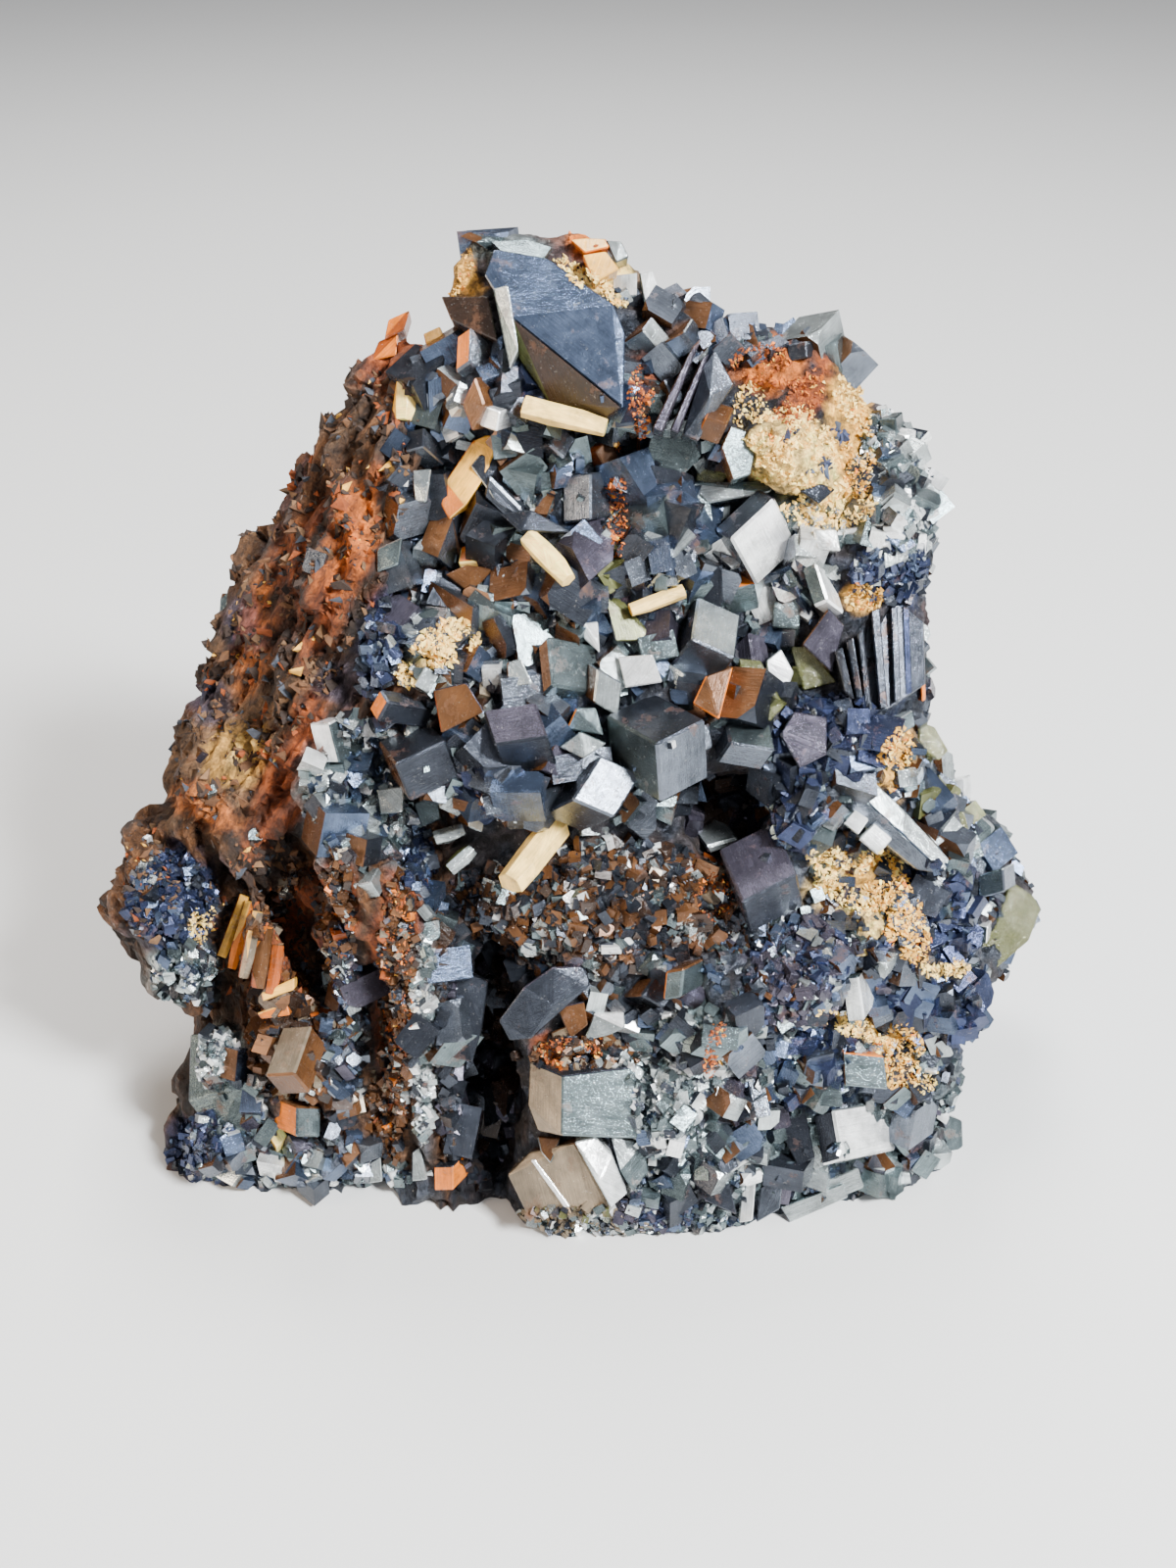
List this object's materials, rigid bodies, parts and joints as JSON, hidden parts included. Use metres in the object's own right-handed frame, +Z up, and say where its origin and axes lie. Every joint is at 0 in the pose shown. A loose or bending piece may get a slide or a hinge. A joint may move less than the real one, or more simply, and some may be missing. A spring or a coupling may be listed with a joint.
{
  "type": "arsenopyrite mineral specimen",
  "caption": "Hand-size mineral specimen: blocky steel-grey arsenopyrite crystals on an iron-stained rock, with a flat cut below so that it stands.",
  "frame": {"origin": "middle of the outside's width and depth, at the flat rest face", "axes": "+Z up, +X along the width to the right as seen from the front, +Y towards the back, so the crystal-covered front faces -Y"},
  "size_m": [0.1063, 0.0612, 0.0922],
  "materials": {
    "crystal": "natural steel-grey crystal faces with rust-brown and ochre iron staining"
  },
  "bodies": {
    "root": {"arsenopyrite_specimen": "crystal"}
  },
  "joints": []
}
